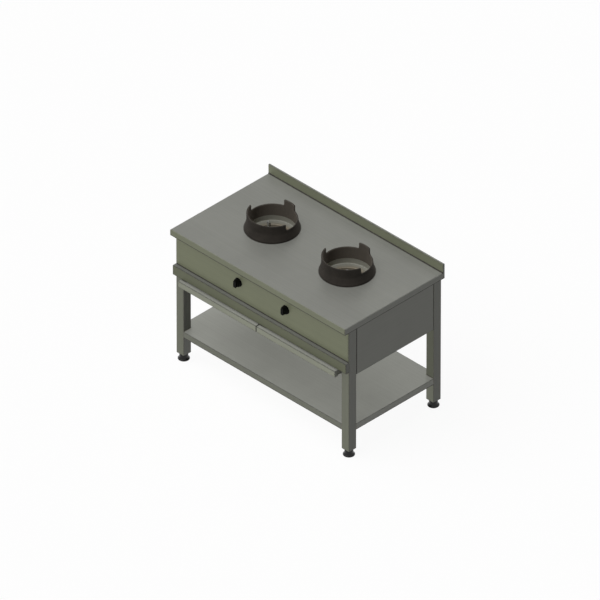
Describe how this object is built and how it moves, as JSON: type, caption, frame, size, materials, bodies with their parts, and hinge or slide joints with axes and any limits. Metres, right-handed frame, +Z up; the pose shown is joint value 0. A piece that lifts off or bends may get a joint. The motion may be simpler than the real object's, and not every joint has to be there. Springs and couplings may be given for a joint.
{
  "type": "wok burner range",
  "caption": "Free-standing stainless wok range: lift-off cast wok rings over gas burners, push-and-turn knobs, pull-out drip trays, a lower shelf and levelling feet.",
  "frame": {"origin": "on the floor, under the middle of the whole range", "axes": "+X to the right along the width as seen from the front, +Y to the rear, +Z up; the knobs and trays face -Y"},
  "size_m": [1.4, 0.81, 1.022],
  "materials": {
    "stainless": "fine brushed sheet",
    "cast_iron": "as cast, dark brown-black",
    "brass": "machined",
    "zinc_plate": "dull zinc plate",
    "copper": "drawn tube",
    "black_plastic": "moulded, satin"
  },
  "bodies": {
    "frame": {"worktop": "stainless", "control_panel": "stainless", "panel_guard": "stainless", "side_panel_left": "stainless", "side_panel_right": "stainless", "rear_panel": "stainless", "lower_shelf": "stainless", "leg_front_left": "stainless", "leg_front_right": "stainless", "leg_rear_left": "stainless", "leg_rear_right": "stainless", "burner_well_left": "stainless", "burner_well_right": "stainless", "deck_stiffeners": "stainless", "top_frame": "stainless", "tray_rails": "stainless", "shelf_stiffener": "stainless", "runner_left": "stainless", "runner_centre": "stainless", "runner_right": "stainless", "burner_cradle_left": "stainless", "burner_cradle_right": "stainless", "gas_manifold": "stainless", "manifold_brackets": "stainless", "gas_inlet_pipe": "stainless", "pilot_brackets": "stainless", "burner_body_left": "cast_iron", "burner_body_right": "cast_iron", "injector_left": "brass", "injector_right": "brass", "gas_valve_left": "brass", "gas_valve_right": "brass", "rear_panel_screws": "zinc_plate", "cradle_bolts": "zinc_plate", "pilot_burner_left": "zinc_plate", "pilot_burner_right": "zinc_plate", "gas_tube_left": "copper", "gas_tube_right": "copper", "pilot_tubes": "copper", "thermocouples": "copper", "knob_bezels": "black_plastic", "leg_plugs": "black_plastic"},
    "drip_tray_left": {"drip_tray_left": "stainless"},
    "drip_tray_right": {"drip_tray_right": "stainless"},
    "wok_ring_left": {"wok_ring_left": "cast_iron"},
    "wok_ring_right": {"wok_ring_right": "cast_iron"},
    "burner_crown_left": {"burner_crown_left": "brass"},
    "burner_crown_right": {"burner_crown_right": "brass"},
    "air_shutter_left": {"air_shutter_left": "zinc_plate"},
    "air_shutter_right": {"air_shutter_right": "zinc_plate"},
    "valve_sleeve_left": {"valve_sleeve_left": "zinc_plate"},
    "valve_sleeve_right": {"valve_sleeve_right": "zinc_plate"},
    "knob_left": {"knob_left": "black_plastic", "valve_spindle_left": "brass"},
    "knob_right": {"knob_right": "black_plastic", "valve_spindle_right": "brass"},
    "foot_front_left": {"foot_front_left": "black_plastic"},
    "foot_front_right": {"foot_front_right": "black_plastic"},
    "foot_rear_left": {"foot_rear_left": "black_plastic"},
    "foot_rear_right": {"foot_rear_right": "black_plastic"}
  },
  "joints": [
    {"name": "foot_front_left_screw", "type": "slide", "parent": "frame", "child": "foot_front_left", "axis": [0, 0, -1], "range_m": [0, 0.025]},
    {"name": "foot_rear_left_screw", "type": "slide", "parent": "frame", "child": "foot_rear_left", "axis": [0, 0, -1], "range_m": [0, 0.025]},
    {"name": "drip_tray_left_pull", "type": "slide", "parent": "frame", "child": "drip_tray_left", "axis": [0, -1, 0], "range_m": [0, 0.5]},
    {"name": "wok_ring_left_lift", "type": "slide", "parent": "frame", "child": "wok_ring_left", "axis": [0, 0, 1], "range_m": [0, 0.15]},
    {"name": "burner_crown_left_lift", "type": "slide", "parent": "frame", "child": "burner_crown_left", "axis": [0, 0, 1], "range_m": [0, 0.05]},
    {"name": "air_shutter_left_set", "type": "slide", "parent": "frame", "child": "air_shutter_left", "axis": [0, 1, 0], "range_m": [-0.0045, 0.0195]},
    {"name": "knob_left_push", "type": "slide", "parent": "frame", "child": "valve_sleeve_left", "axis": [0, 1, 0], "range_m": [0, 0.004], "stiffness_N_per_m": 1500, "springref_m": -0.004},
    {"name": "knob_left_turn", "type": "hinge", "parent": "valve_sleeve_left", "child": "knob_left", "pos_m": [-0.19, -0.38, 0.782], "axis": [0, -1, 0], "range_deg": [0, 180]},
    {"name": "foot_front_right_screw", "type": "slide", "parent": "frame", "child": "foot_front_right", "axis": [0, 0, -1], "range_m": [0, 0.025]},
    {"name": "foot_rear_right_screw", "type": "slide", "parent": "frame", "child": "foot_rear_right", "axis": [0, 0, -1], "range_m": [0, 0.025]},
    {"name": "drip_tray_right_pull", "type": "slide", "parent": "frame", "child": "drip_tray_right", "axis": [0, -1, 0], "range_m": [0, 0.5]},
    {"name": "wok_ring_right_lift", "type": "slide", "parent": "frame", "child": "wok_ring_right", "axis": [0, 0, 1], "range_m": [0, 0.15]},
    {"name": "burner_crown_right_lift", "type": "slide", "parent": "frame", "child": "burner_crown_right", "axis": [0, 0, 1], "range_m": [0, 0.05]},
    {"name": "air_shutter_right_set", "type": "slide", "parent": "frame", "child": "air_shutter_right", "axis": [0, 1, 0], "range_m": [-0.0045, 0.0195]},
    {"name": "knob_right_push", "type": "slide", "parent": "frame", "child": "valve_sleeve_right", "axis": [0, 1, 0], "range_m": [0, 0.004], "stiffness_N_per_m": 1500, "springref_m": -0.004},
    {"name": "knob_right_turn", "type": "hinge", "parent": "valve_sleeve_right", "child": "knob_right", "pos_m": [0.19, -0.38, 0.782], "axis": [0, -1, 0], "range_deg": [0, 180]}
  ]
}
